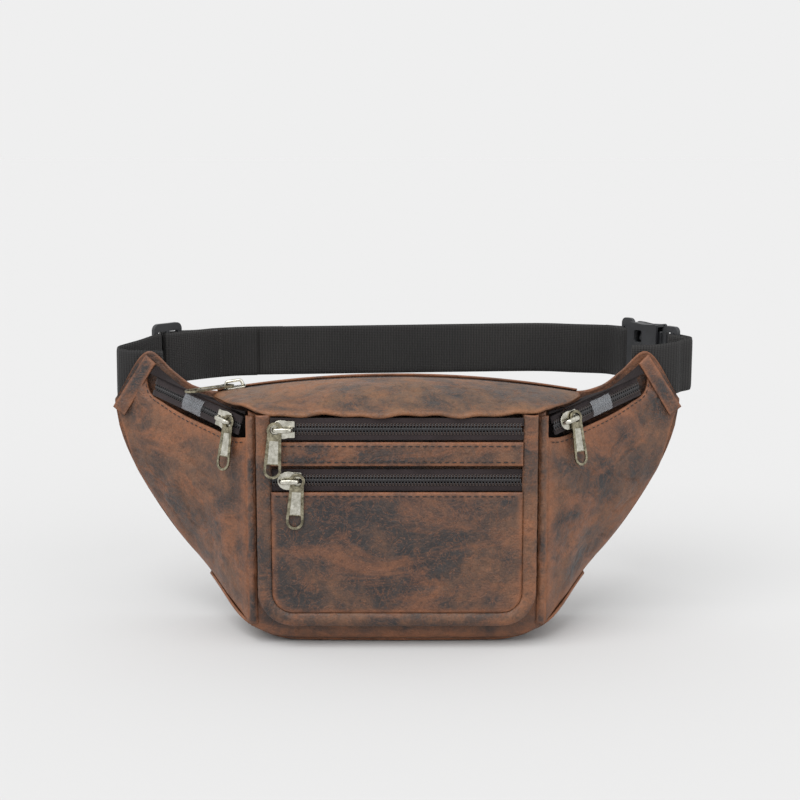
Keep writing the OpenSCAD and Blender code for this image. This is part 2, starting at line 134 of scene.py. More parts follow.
def leather(name, dark=0.5, warm=1.0, streaks=0.5, speck=1.0, olive=0.0, lean=0.35):
    """Waxed pull-up leather: charcoal clouds over tan brown, rust scuffs, creases, fine speckle and grain.
    dark moves the clouds, streaks and lean set how much bare tan shows and how it slants,
    warm and olive tint it, and speck sets how strong the fine flecks and pits are."""
    g = Graph(name)
    shift = 0.10 * (dark - 0.5)
    char, soot = (0.021, 0.020, 0.0215), (0.034, 0.029, 0.028)
    brown = (0.082 * warm, 0.047 + 0.004 * olive, 0.033)
    tan = (0.155 * warm, 0.077 + 0.010 * olive, 0.044)
    rust = (0.270 * warm, 0.104 + 0.012 * olive, 0.046)
    cloud = g.noise(10, 6, 0.62, twist=0.7)
    cloud2 = g.noise(36, 6, 0.68, g.place(turn=(0.4, 0.3, 0.7)), twist=0.3)
    both = g.math("ADD", g.math("MULTIPLY", cloud, 0.55), g.math("MULTIPLY", cloud2, 0.45))
    col = g.ramp(both, [(0.37 + shift, char), (0.45 + shift, soot), (0.51 + shift, brown),
        (0.58 + shift, tan), (0.72, rust)])
    long = g.noise(17, 6, 0.72, g.place(scale=(0.8, 1.6, 1.9), turn=(0, lean, 0)), twist=0.8)
    bare = g.ramp(long, [(0.53 - 0.06 * streaks, 0.0), (0.66 - 0.05 * streaks, 0.85)])
    col = g.mix(g.math("MULTIPLY", bare, min(1.0, 1.3 * streaks)), col, rust)
    crease = g.noise(62, 5, 0.6, g.place(turn=(0.2, 0.5, 0.1)), twist=2.2)
    line = g.math("ABSOLUTE", g.math("SUBTRACT", crease, 0.5), 0)
    thin = g.ramp(line, [(0.0, 1.0), (0.010, 0.35), (0.026, 0.0)])
    col = g.mix(g.math("MULTIPLY", thin, 0.5), col, rust)
    flecks = g.noise(430, 3, 0.75)
    col = g.mix(g.math("MULTIPLY", g.ramp(flecks, [(0.50, 0.0), (0.68, 1.0)]), 0.34 * speck), col, tan)
    pits = g.noise(300, 3, 0.7, g.place(turn=(0.9, 0.1, 0.2)))
    col = g.mix(g.math("MULTIPLY", g.ramp(pits, [(0.34, 1.0), (0.47, 0.0)]), 0.34 * speck), col,
        (0.012, 0.011, 0.012))
    fine = g.noise(900, 3, 0.6)
    col = g.mix(0.5, col, g.ramp(fine, [(0.3, 0.45), (0.62, 1.0)]), "MULTIPLY")
    edge = g.add("Attribute", attribute_name="edge")
    worn = g.math("MULTIPLY", edge.outputs["Fac"], g.ramp(g.noise(120, 4, 0.6), [(0.3, 0.2), (0.6, 1.0)]))
    col = g.mix(g.math("MULTIPLY", worn, 0.68), col, rust)
    pores = g.add("TexVoronoi", feature="F1")
    g.set(pores, "Scale", 700.0)
    g.set(pores, "Vector", g.coord.outputs["Object"])
    n1 = g.bump(g.noise(35, 4, 0.6), 0.6, 0.0026)
    n2 = g.bump(thin, 0.4, 0.0007, n1)
    n2.node.invert = True
    n3 = g.bump(pores.outputs["Distance"], 0.5, 0.00045, n2)
    n4 = g.bump(pits, 0.4, 0.0006, n3)
    rough = g.ramp(cloud2, [(0.3, 0.40), (0.7, 0.60)])
    return g.out(Base_Color=col, Roughness=rough, Normal=n4, Specular_IOR_Level=0.38)


def cloth(name, colour, pitch=0.00075, sheen=0.25):
    """Woven tape or lining: two crossed sets of threads."""
    g = Graph(name)
    warp = g.add("TexWave", bands_direction="X")
    weft = g.add("TexWave", bands_direction="Y")
    for node in (warp, weft):
        g.set(node, "Scale", 0.314 / pitch)
        g.set(node, "Distortion", 0.6)
        g.set(node, "Vector", g.coord.outputs["UV"])
    both = g.math("MULTIPLY", warp.outputs["Fac"], weft.outputs["Fac"])
    patch = g.noise(60, 3)
    col = g.mix(g.ramp(patch, [(0.35, 0.0), (0.7, 1.0)]), colour, tuple(c * 1.45 for c in colour))
    col = g.mix(0.6, col, g.ramp(both, [(0.0, 0.35), (0.55, 1.0)]), "MULTIPLY")
    fuzz = g.noise(2500, 2)
    n = g.bump(fuzz, 0.3, 0.0002, g.bump(both, 0.8, 0.0003))
    return g.out(Base_Color=col, Roughness=0.88, Normal=n, Sheen_Weight=sheen, Sheen_Roughness=0.5,
        Specular_IOR_Level=0.25)


def webbing_mat(name):
    """Ribbed webbing: fine ribs across it and a row structure along it."""
    g = Graph(name)
    ribs = g.add("TexWave", bands_direction="X", wave_profile="SIN")
    g.set(ribs, "Scale", 0.314 / 0.0021)
    g.set(ribs, "Distortion", 0.15)
    g.set(ribs, "Vector", g.coord.outputs["UV"])
    rows = g.add("TexWave", bands_direction="Y")
    g.set(rows, "Scale", 0.314 / 0.0013)
    g.set(rows, "Vector", g.coord.outputs["UV"])
    h = g.math("ADD", g.math("MULTIPLY", ribs.outputs["Fac"], 0.75),
        g.math("MULTIPLY", rows.outputs["Fac"], 0.25))
    patch = g.noise(14, 3)
    col = g.mix(g.ramp(patch, [(0.3, 0.0), (0.7, 1.0)]), (0.0125, 0.0122, 0.0125),
        (0.025, 0.0235, 0.0225))
    col = g.mix(0.75, col, g.ramp(h, [(0.1, 0.30), (0.7, 1.0)]), "MULTIPLY")
    n = g.bump(g.noise(1800, 2), 0.25, 0.0002, g.bump(h, 0.85, 0.0006))
    return g.out(Base_Color=col, Roughness=0.62, Normal=n, Sheen_Weight=0.04, Specular_IOR_Level=0.3)


def plastic(name, colour, rough=0.42, grain=0.25):
    g = Graph(name)
    fine = g.noise(1600, 3, 0.6)
    wear = g.noise(70, 4, 0.6)
    col = g.mix(g.ramp(wear, [(0.4, 0.0), (0.75, 1.0)]), colour, tuple(min(1, c * 1.7) for c in colour))
    r = g.ramp(g.noise(200, 3), [(0.3, rough - 0.08), (0.7, rough + 0.1)])
    return g.out(Base_Color=col, Roughness=r, Normal=g.bump(fine, grain, 0.0002))


def brass(name, low, high, dirt, rough=0.26):
    """Antiqued brass: an even metal with fine tarnish; low and high are its darkest and brightest tones."""
    g = Graph(name)
    tarnish = g.noise(240, 5, 0.7)
    col = g.ramp(tarnish, [(0.36, low), (0.62, high)])
    spots = g.noise(900, 3, 0.7)
    col = g.mix(g.math("MULTIPLY", g.ramp(spots, [(0.36, 1.0), (0.5, 0.0)]), dirt), col,
        tuple(c * 0.25 for c in low))
    r = g.ramp(g.noise(420, 3), [(0.3, rough - 0.06), (0.7, rough + 0.12)])
    return g.out(Base_Color=col, Metallic=1.0, Roughness=r, Normal=g.bump(spots, 0.14, 0.0002))


def thread(name, colour):
    g = Graph(name)
    ply = g.add("TexWave", bands_direction="DIAGONAL")
    g.set(ply, "Scale", 600.0)
    g.set(ply, "Vector", g.coord.outputs["Object"])
    col = g.mix(0.5, colour, g.ramp(ply.outputs["Fac"], [(0.2, 0.3), (0.8, 1.0)]), "MULTIPLY")
    return g.out(Base_Color=col, Roughness=0.6, Normal=g.bump(ply.outputs["Fac"], 0.5, 0.0002))


def film(name):
    g = Graph(name)
    r = g.ramp(g.noise(240, 3), [(0.3, 0.08), (0.7, 0.22)])
    return g.out(Base_Color=(0.55, 0.58, 0.62), Roughness=r, Alpha=0.13, Specular_IOR_Level=0.9,
                 Normal=g.bump(g.noise(160, 3), 0.6, 0.0012))


MAT = {
    "leather": leather("leather", dark=0.45, streaks=0.55),
    "leather_dark": leather("leather_dark", dark=0.80, streaks=0.45, lean=0.1),
    "leather_warm": leather("leather_warm", dark=0.30, streaks=0.65, lean=-0.9),
    "leather_wing": leather("leather_wing", dark=0.50, streaks=0.55, lean=0.9),
    "leather_dome": leather("leather_dome", dark=0.20, streaks=0.5, olive=0.5),
    "leather_tip": leather("leather_tip", dark=0.6, streaks=0.4),
    "leather_strip": leather("leather_strip", dark=0.15, streaks=0.7, speck=0.8),
    "tape": cloth("tape", (0.030, 0.0215, 0.0225), sheen=0.08),
    "sewing": thread("sewing", (0.055, 0.036, 0.031)),
    "lining": cloth("lining", (0.020, 0.0145, 0.015), pitch=0.0012, sheen=0.0),
    "coil": plastic("coil", (0.011, 0.010, 0.011), 0.24, 0.08),
    "webbing": webbing_mat("webbing"),
    "plastic": plastic("plastic", (0.018, 0.019, 0.021)),
    # Two copies of one brass: the lighter copy is a painted highlight on the faces that catch the light (slider
    # tops and bridges, pull plates), and the plain darker brass on slider undersides, lips, posts and pull frames
    # is painted shade.
    "brass": brass("brass", (0.13, 0.115, 0.078), (0.40, 0.365, 0.26), 0.5),
    "brass_lit_copy": brass("brass_lit_copy", (0.40, 0.385, 0.32), (0.70, 0.68, 0.60), 0.22, 0.22),
    "thread": thread("thread", (0.018, 0.013, 0.012)),
    "belt_thread": thread("belt_thread", (0.045, 0.043, 0.042)),
    "film": film("film"),
}

# ---------------------------------------------------------------- meshes


def mesh_object(name, verts, faces, material, smooth=True, uv=None, edge=None):
    """verts in millimetres."""
    me = bpy.data.meshes.new(name)
    me.from_pydata([tuple(float(c) * MM for c in v) for v in verts], [],
        [tuple(int(i) for i in f) for f in faces])
    if uv is not None:
        layer = me.uv_layers.new(name="UVMap")
        uv = np.asarray(uv, float)
        loops = np.zeros(len(me.loops), int)
        me.loops.foreach_get("vertex_index", loops)
        layer.data.foreach_set("uv", uv[loops].ravel())
    if edge is not None:
        at = me.attributes.new("edge", "FLOAT", "POINT")
        at.data.foreach_set("value", np.asarray(edge, float).ravel())
    me.validate()
    me.update()
    ob = bpy.data.objects.new(name, me)
    bpy.context.collection.objects.link(ob)
    for m in material if isinstance(material, (list, tuple)) else [material]:
        me.materials.append(m)
    if smooth:
        me.polygons.foreach_set("use_smooth", [True] * len(me.polygons))
    return ob


def own(ob, body, *nodes, slot=None):
    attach(ob, body)
    if nodes:
        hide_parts(*nodes)
    return ob


def table_of(pts):
    """Smooth lookup through given (x, value) points."""
    xs = np.array([p[0] for p in pts], float)
    ys = np.array([p[1] for p in pts], float)
    d = np.diff(ys) / np.diff(xs)
    m = np.concatenate([[d[0]], [0 if a * b <= 0 else 2 * a * b / (a + b) for a, b in zip(d[:-1], d[1:])],
        [d[-1]]])

    def at(x):
        x = np.clip(x, xs[0], xs[-1])
        i = np.clip(np.searchsorted(xs, x) - 1, 0, len(xs) - 2)
        h = xs[i + 1] - xs[i]
        t = (x - xs[i]) / h
        return ((2 * t**3 - 3 * t**2 + 1) * ys[i] + (t**3 - 2 * t**2 + t) * h * m[i]
                + (-2 * t**3 + 3 * t**2) * ys[i + 1] + (t**3 - t**2) * h * m[i + 1])
    return at


def spline(pts):
    """Smooth curve through given points, t from 0 to 1 by index."""
    pts = np.array(pts, float)
    ext = np.vstack([2 * pts[0] - pts[1], pts, 2 * pts[-1] - pts[-2]])

    def at(t):
        s = np.clip(t, 0, 1) * (len(pts) - 1)
        i = int(min(math.floor(s), len(pts) - 2))
        f = s - i
        a, b, c, d = ext[i:i + 4]
        return 0.5 * (2 * b + (c - a) * f + (2 * a - 5 * b + 4 * c - d) * f**2
            + (3 * b - a - 3 * c + d) * f**3)
    return at


def resample(pts, step):
    """Points every step along a smooth curve through pts."""
    f = spline(pts)
    dense = np.array([f(t) for t in np.linspace(0, 1, len(pts) * 24)])
    s = np.concatenate([[0], np.cumsum(np.linalg.norm(np.diff(dense, axis=0), axis=1))])
    n = max(2, int(round(s[-1] / step)))
    at = np.linspace(0, s[-1], n + 1)
    return np.stack([np.interp(at, s, dense[:, k]) for k in range(3)], 1)


def fbm(p, size, seed=0.0, octaves=3):
    """Signed soft noise, p in millimetres and size the feature length."""
    return noise.fractal(Vector(p) / size + Vector((seed, seed * 1.7, -seed)), 0.9, 2.0, octaves,
        noise_basis="PERLIN_ORIGINAL")


def normals(g):
    du = np.gradient(g, axis=0)
    dv = np.gradient(g, axis=1)
    n = np.cross(du, dv)
    return n / np.maximum(np.linalg.norm(n, axis=2, keepdims=True), 1e-9)


def panel(name, fn, nu, nv, thick, material, ripple=0.0, size=28.0, seed=1.0, roll=0.7, fold=None,
        keep=(1, 1, 1, 1), wear=8.0):
    """A leather or cloth panel: fn(u, v) is its outer face in millimetres.
    ripple wrinkles it and its edges roll down.
    keep says which of the edges u=0, u=1, v=0, v=1 are held flat."""
    us = np.linspace(0, 1, nu + 1)
    vs = np.linspace(0, 1, nv + 1)
    g = np.array([[fn(u, v) for v in vs] for u in us], float)
    n = normals(g)
    lu = np.concatenate([[0], np.cumsum(np.linalg.norm(np.diff(g[:, nv // 2], axis=0), axis=1))])
    lv = np.concatenate([[0], np.cumsum(np.linalg.norm(np.diff(g[nu // 2], axis=0), axis=1))])
    U, V = np.meshgrid(lu, lv, indexing="ij")
    dist = np.minimum(np.minimum(U, lu[-1] - U), np.minimum(V, lv[-1] - V))
    held = np.ones_like(U)
    for flag, d in zip(keep, (U, lu[-1] - U, V, lv[-1] - V)):
        if flag:
            held *= np.clip(d / 14.0, 0, 1) ** 0.8
    off = np.zeros_like(U)
    if ripple:
        for i in range(nu + 1):
            for j in range(nv + 1):
                p = g[i, j]
                a = fbm(p, size, seed)
                b = fbm(p, size * 0.42, seed + 9)
                c = 1 - min(1.0, abs(fbm(p, size * 0.8, seed + 4, 2)) * 5)
                off[i, j] = ripple * (0.9 * a + 0.5 * b - 0.55 * c * c * c)
        off *= held
    if fold is not None:
        off += np.array([[fold(u, v) for v in vs] for u in us]) * held
    off -= roll * np.exp(-(dist / 1.6) ** 2)
    out = g + n * off[..., None]
    inn = g + n * (np.minimum(off, 0) - thick)[..., None]
    k = (nu + 1) * (nv + 1)
    idx = np.arange(k).reshape(nu + 1, nv + 1)
    faces = []
    for i in range(nu):
        for j in range(nv):
            a, b, c, d = idx[i, j], idx[i + 1, j], idx[i + 1, j + 1], idx[i, j + 1]
            faces.append((a, b, c, d))
            faces.append((a + k, d + k, c + k, b + k))
    rim = list(idx[:, 0]) + list(idx[-1, 1:]) + list(idx[-2::-1, -1]) + list(idx[0, -2:0:-1])
    for a, b in zip(rim, rim[1:] + rim[:1]):
        faces.append((b, a, a + k, b + k))
    uv = np.stack([U * MM, V * MM], 2).reshape(-1, 2)
    e = np.exp(-(dist / wear) ** 2).ravel()
    ob = mesh_object(name, np.vstack([out.reshape(-1, 3), inn.reshape(-1, 3)]), faces, material,
                     uv=np.vstack([uv, uv]), edge=np.concatenate([e, e]))
    return ob


def capsule_rings(m):
    """Unit capsule profile: (x, radius) of m + 1 rings from x = -1 to 1."""
    rings = []
    for i in range(m + 1):
        a = math.pi * i / m
        rings.append((-math.cos(a), max(math.sin(a), 0.02) ** 0.6))
    return rings


def rods(name, items, material, n=8, m=6, flat=1.0):
    """Many short rounded rods in one mesh: items are (start, end, radius, up)."""
    verts, faces = [], []
    rings = capsule_rings(m)
    for a, b, r, up in items:
        a, b, up = np.array(a, float), np.array(b, float), np.array(up, float)
        d = b - a
        half = np.linalg.norm(d) / 2
        d = d / (2 * half)
        side = np.cross(up, d)
        side /= max(np.linalg.norm(side), 1e-9)
        top = np.cross(d, side)
        base = len(verts)
        mid = (a + b) / 2
        for x, k in rings:
            for q in range(n):
                t = 2 * math.pi * q / n
                verts.append(mid + d * x * half + side * math.cos(t) * r * k
                    + top * math.sin(t) * r * k * flat)
        for i in range(len(rings) - 1):
            for q in range(n):
                p0 = base + i * n + q
                p1 = base + i * n + (q + 1) % n
                faces.append((p0, p1, p1 + n, p0 + n))
        faces.append(tuple(base + q for q in reversed(range(n))))
        last = base + (len(rings) - 1) * n
        faces.append(tuple(last + q for q in range(n)))
    return mesh_object(name, verts, faces, material)


def stitches(name, lines, ups, body, pitch=4.2, length=3.0, r=0.42, material="thread", sink=0.12):
    """Rows of stitches along lines of points; up is the outward direction on each line."""
    items = []
    for line, up in zip(lines, ups):
        p = resample(line, 0.7)
        s = np.concatenate([[0], np.cumsum(np.linalg.norm(np.diff(p, axis=0), axis=1))])
        at = 1.0
        while at + length < s[-1]:
            a = np.array([np.interp(at, s, p[:, k]) for k in range(3)])
            b = np.array([np.interp(at + length, s, p[:, k]) for k in range(3)])
            u = up((a + b) / 2) if callable(up) else np.array(up, float)
            items.append((a - u * sink, b - u * sink, r, u))
            at += pitch
    return own(rods(name, items, MAT[material], n=6, m=4, flat=0.8), body)


# ---------------------------------------------------------------- the shell's surfaces

HALF = 100.0
DOME_HALF = 127.0
RIDGE = 176.0
edge_low = table_of([(0, 0), (68, 0), (84, 2.5), (100, 9.5), (113, 17), (124, 25), (141, 38), (157, 56),
    (174, 80), (190, 108), (200, 134), (203, 152)])
edge_high = table_of([(0, 168), (110, 164), (130, 164), (145, 167.5), (160, 178), (177, 192), (203, 157)])
front_top = table_of([(0, 156), (84, 156.5), (HALF, 161)])
hem_z = table_of([(0, 160.8), (70, 160.8), (88, 162.5), (104, 165.2), (DOME_HALF, 165.2)])
profile = table_of([(0, -27), (6, -32), (25, -35), (70, -37), (120, -36), (145, -34), (165, -33)])
bottom_front = table_of([(0, -29), (HALF, -26), (135, 24)])


def back_y(x):
    return 32 + 15 * (x / 200.0) ** 2


def front_y(x, z):
    return float(profile(z)) - 3 * (1 - (x / HALF) ** 2)


def flip(fn, s):
    """The mirror image of a surface for the left side; u runs the other way so that it still faces out."""
    if s > 0:
        return fn
    return lambda u, v: fn(1 - u, v) * np.array([-1, 1, 1])


WL = spline([[HALF + 0.5, -30, 12], [118, -1, 23], [136, 26, 37], [157, 36.5, 59], [174, 39.5, 83],
    [190, 41.5, 110], [202, 43, 152]])
WH = spline([[HALF + 0.5, -34, 143], [113, -22.6, 141.5], [132, -5.9, 146], [150, 10, 151],
    [166, 24, 157.5], [177.5, 34.5, 165], [180, 40, 187]])
TIP = [WL(1), WH(1)]


def wing_point(u, v):
    z = 12 + 131 * v
    seam = np.array([HALF + 0.5, front_y(HALF, z) + 1, z])
    tip = TIP[0] * (1 - v) + TIP[1] * v
    p = (WL(u) * (1 - v) + WH(u) * v + seam * (1 - u) + tip * u
         - ((WL(0) * (1 - v) + WH(0) * v) * (1 - u) + (WL(1) * (1 - v) + WH(1) * v) * u))
    push = 9 * math.sin(math.pi * v) * math.sin(math.pi * u ** 0.8)
    return p + push * np.array([0.447, -0.894, 0])


ZIP_A = np.array([108, -24, 150.0])
ZIP_B = np.array([177, 37, 169.0])
W_AL = (ZIP_B - ZIP_A) / np.linalg.norm(ZIP_B - ZIP_A)
W_AC = np.array([0, 0.25, 0.97]) - np.dot([0, 0.25, 0.97], W_AL) * W_AL
W_AC /= np.linalg.norm(W_AC)
W_OUT = np.cross(W_AL, W_AC)
WING_L = float(np.linalg.norm(ZIP_B - ZIP_A))
ZR, ZY = 750.0, 15.0


def zip_z(x):
    return RIDGE - (ZR - math.sqrt(ZR * ZR - x * x))

# ---------------------------------------------------------------- leather and lining


def back_fn(u, v):
    x = 203 * (1 - 2 * u)
    lo, hi = float(edge_low(abs(x))) + 2.4, float(edge_high(abs(x)))
    return np.array([x, back_y(x), lo * (1 - v) + hi * v])


own(panel("back_panel_leather", back_fn, 150, 64, LEATHER_T, MAT["leather"], ripple=0.7, size=45, seed=3,
    wear=3),
    "pack", "back_panel", slot="back_leather")


def front_fn(u, v):
    x = HALF * (2 * u - 1)
    z = (float(edge_low(abs(x))) + 2.4) * (1 - v) + float(front_top(abs(x))) * v
    return np.array([x, front_y(x, z), z])


own(panel("front_panel_leather", front_fn, 110, 90, LEATHER_T, MAT["leather"], ripple=0.5, size=30,
    seed=5),
    "pack", "front_panel", slot="leather")


def gusset_fn(u, v):
    x = 135 * (2 * u - 1)
    return np.array([x, back_y(x) * (1 - v) + float(bottom_front(abs(x))) * v, float(edge_low(abs(x)))])


own(panel("bottom_leather", gusset_fn, 100, 26, LEATHER_T, MAT["leather"], roll=0.3, keep=(1, 1, 1, 1)),
    "pack", "bottom_gusset", slot="leather")


def wing_fold(u, v):
    """Soft diagonal pulls from the lower end of the zip and puckers along the seam and lower edge."""
    a = 0.9 * math.sin(9.0 * (u + 0.9 * v)) * math.exp(-((u - 0.35) / 0.45) ** 2)
    b = 0.8 * math.sin(44 * v + 5 * u) * math.exp(-(u / 0.09) ** 2)
    c = 0.8 * math.sin(40 * u + 3 * v) * math.exp(-(v / 0.10) ** 2)
    d = -1.2 * math.exp(-((v - 0.55 - 0.4 * u) / 0.045) ** 2) * math.sin(math.pi * min(1, u * 1.6))
    return a + b + c + d


for side, s in (("left", -1), ("right", 1)):
    own(panel(side + "_wing_leather", flip(wing_point, s), 96, 96, LEATHER_T,
        MAT["leather_warm" if s < 0 else "leather_wing"], ripple=1.2,
              size=34, seed=11 + 5 * s, fold=(lambda u, v: wing_fold(1 - u, v)) if s < 0 else wing_fold),
        "pack", side + "_wing_panel", slot="leather")

TOP_F = spline([[102, -30.5, 158], [139, 1.65, 167.6], [176, 33.8, 177.2]])
TOP_B = spline([[102, -33, 160], [112, -21, 161], [124, 0, 162.6], [132, 27, 161.5], [150, 32, 166.5],
    [164, 35, 176.5], [172, 36, 183]])


def wing_top_fn(u, v):
    return TOP_F(u) * (1 - v) + TOP_B(u) * v


for side, s in (("left", -1), ("right", 1)):
    own(panel(side + "_wing_top_cloth", flip(wing_top_fn, s), 60, 20, CLOTH_T, MAT["lining"], ripple=0.5,
        size=20, seed=21, roll=0.2),
        "pack", side + "_wing_top", slot="lining")

dome_front = table_of([(0, -49), (84, -47), (103, -38), (114, -23), (DOME_HALF, 0)])


def dome_fn(u, v):
    x = DOME_HALF * (2 * u - 1)
    hem = float(hem_z(abs(x))) + 0.9 * math.sin(x / 9.5) + 0.7 * math.sin(x / 4.1 + 1)
    k = math.sin(math.pi / 2 * v) ** 0.7
    return np.array([x, float(dome_front(abs(x))) * (1 - v) + (ZY - 7.2) * v,
        hem * (1 - k) + (zip_z(x) + 2.4) * k])


own(panel("top_leather", dome_fn, 130, 60, LEATHER_T, MAT["leather_dome"], ripple=0.9, size=30, seed=31,
    wear=3.5, keep=(1, 1, 0, 1)),
    "pack", "top_front_panel", slot="leather")


def rear_fn(u, v):
    x = DOME_HALF * (2 * u - 1)
    return np.array([x, (ZY + 7.4) * (1 - v) + (back_y(x) - 2.6) * v,
        (zip_z(x) + 2.9) * (1 - v) + (float(edge_high(abs(x))) + 0.6) * v])


own(panel("top_rear_leather", rear_fn, 100, 10, THIN_T, MAT["leather"], ripple=0.3, size=20, roll=0.3),
    "pack", "top_rear_strip", slot="leather")


def welt_fn(u, v):
    x = HALF + 3.5 * (2 * u - 1.5)
    z = 14 + 144 * v
    y = front_y(HALF, z) - 2.0 - 0.9 * math.sin(math.pi * min(1, u * 1.1)) + 1.0 * max(0, u - 0.5) * 2
    return np.array([x, y, z])


for side, s in (("left", -1), ("right", 1)):
    own(panel(side + "_welt_leather", flip(welt_fn, s), 12, 120, THIN_T, MAT["leather"], ripple=0.5,
        size=9, seed=41, roll=0.6, keep=FREE, wear=1.6),
        "pack", side + "_seam_welt", slot="leather")


def tip_fn(u, v):
    a = np.array([196, 37.6, 146]) * (1 - v) + np.array([172.5, 34.2, 184]) * v
    b = np.array([204.5, 40.8, 152]) * (1 - v) + np.array([179.5, 37.9, 190]) * v
    return a * (1 - u) + b * u


for side, s in (("left", -1), ("right", 1)):
    own(panel(side + "_tip_leather", flip(tip_fn, s), 18, 40, THIN_T, MAT["leather_tip"], ripple=0.3,
        size=9, seed=47, roll=0.5, wear=1.8, keep=FREE),
        "pack", side + "_tip_patch", slot="leather")


def divider_fn(u, v):
    return np.array([97 + 21 * u, -31.5 + 60 * u, (12 + 14 * u) * (1 - v) + 154 * v])


for side, s in (("left", -1), ("right", 1)):
    own(panel(side + "_divider_cloth", flip(divider_fn, s), 20, 40, CLOTH_T, MAT["lining"], ripple=0.4,
        size=30, roll=0),
        "pack", side + "_pocket_divider", slot="lining")

# The front pocket: a crowned panel, the strip between its zips, and the rolled border
P_HALF, P_Y, P_LOW, P_HIGH, P_R = 84.0, -46.5, 25.0, 108.0, 14.0


def pocket_fn(u, v):
    """The pocket's lower corners are rounded by drawing the sides in."""
    z = P_LOW + (P_HIGH - P_LOW) * v
    cut = P_R - math.sqrt(max(0, P_R**2 - (P_R - (z - P_LOW)) ** 2)) if z < P_LOW + P_R else 0
    half = P_HALF - cut
    x = half * (2 * u - 1)
    return np.array([x, P_Y, z])


own(panel("pocket_leather", pocket_fn, 120, 72, LEATHER_T, MAT["leather_dark"], ripple=0.45, size=24,
    seed=53, roll=0.5, wear=2.5,
          fold=lambda u, v: 0.35 * math.sin(math.pi * v) * math.sin(math.pi * u)),
    "pack", "pocket_panel", slot="leather")


def strip_fn(u, v):
    return np.array([P_HALF * (2 * u - 1), P_Y, 126 + 16 * v])


def strip_fold(u, v):
    w = u + 0.35 * v * 16 / 168
    a = math.sin(210 * w + 2.2 * math.sin(23 * u)) * (0.55 + 0.45 * math.sin(31 * u + 1))
    b = math.sin(120 * w - 5 * v + 1.5 * math.sin(11 * u))
    return (0.26 * a + 0.16 * b) * math.sin(math.pi * v) ** 0.6


own(panel("strip_leather", strip_fn, 300, 20, LEATHER_T, MAT["leather_strip"], ripple=0.3, size=6,
    seed=59, roll=0.5, wear=1.6, keep=FREE, fold=strip_fold),
    "pack", "pocket_strip", slot="leather")


def border_path(half, low, high, r, n):
    pts = [np.array([-half, high - (high - low - r) * t]) for t in np.linspace(0, 1, n)]
    pts += [np.array([-half + r - r * math.cos(a), low + r - r * math.sin(a)])
        for a in np.linspace(0, math.pi / 2, 14)[1:]]
    pts += [np.array([-half + r + (2 * half - 2 * r) * t, low]) for t in np.linspace(0, 1, n)[1:]]
    pts += [np.array([half - r + r * math.sin(a), low + r - r * math.cos(a)])
        for a in np.linspace(0, math.pi / 2, 14)[1:]]
    pts += [np.array([half, low + r + (high - low - r) * t]) for t in np.linspace(0, 1, n)[1:]]
    return np.array(pts)


INNER = border_path(P_HALF + 0.5, P_LOW - 0.5, 160.5, P_R + 0.5, 60)
OUTER = border_path(P_HALF + 9, P_LOW - 9, 160, P_R + 9, 60)


def border_fn(u, v):
    """A soft roll: it rises from the front panel, rounds over and dips at the pocket's edge."""
    i = u * (len(INNER) - 1)
    a = int(min(math.floor(i), len(INNER) - 2))
    f = i - a
    p = INNER[a] * (1 - f) + INNER[a + 1] * f
    q = OUTER[a] * (1 - f) + OUTER[a + 1] * f
    across = 0.5 - 0.5 * math.cos(math.pi * v)
    xz = p * (1 - across) + q * across
    rise = math.sin(math.pi * v) ** 0.55 if 0 < v < 1 else 0
    return np.array([xz[0], -41.4 - 4.6 * rise, xz[1]])


own(panel("border_leather", border_fn, 300, 16, 1.0, MAT["leather_warm"], ripple=0.35, size=14, seed=61,
    roll=0.0, wear=0.1, keep=FREE),
    "pack", "pocket_border", slot="leather")

# ---------------------------------------------------------------- zips
# Each zip has a frame: a function from (along, across, out) in millimetres to the pack's frame.


def line_frame(o, a, c, n):
    o, a, c, n = (np.array(k, float) for k in (o, a, c, n))
    return lambda x, y, z: o + a * x + c * y + n * z


def arc_frame(x, y, z):
    t = x / ZR
    r = ZR + z
    return np.array([r * math.sin(t), ZY + y, RIDGE - ZR + r * math.cos(t)])


MIRROR = np.array([-1.0, 1, 1])
wing_frame = line_frame(ZIP_A, W_AL, W_AC, W_OUT)
ZIPS = {
    "upper": (line_frame((0, -45.6, 151), (1, 0, 0), (0, 0, 1), (0, -1, 0)), -84, 84),
    "lower": (line_frame((0, -43.5, 116), (1, 0, 0), (0, 0, 1), (0, -1, 0)), -84, 84),
    "right": (wing_frame, -4, WING_L - 7),
    "left": (lambda x, y, z: wing_frame(x, y, z) * MIRROR, -4, WING_L - 7),
    "main": (arc_frame, -124, 124),
}
PITCH = 2.15


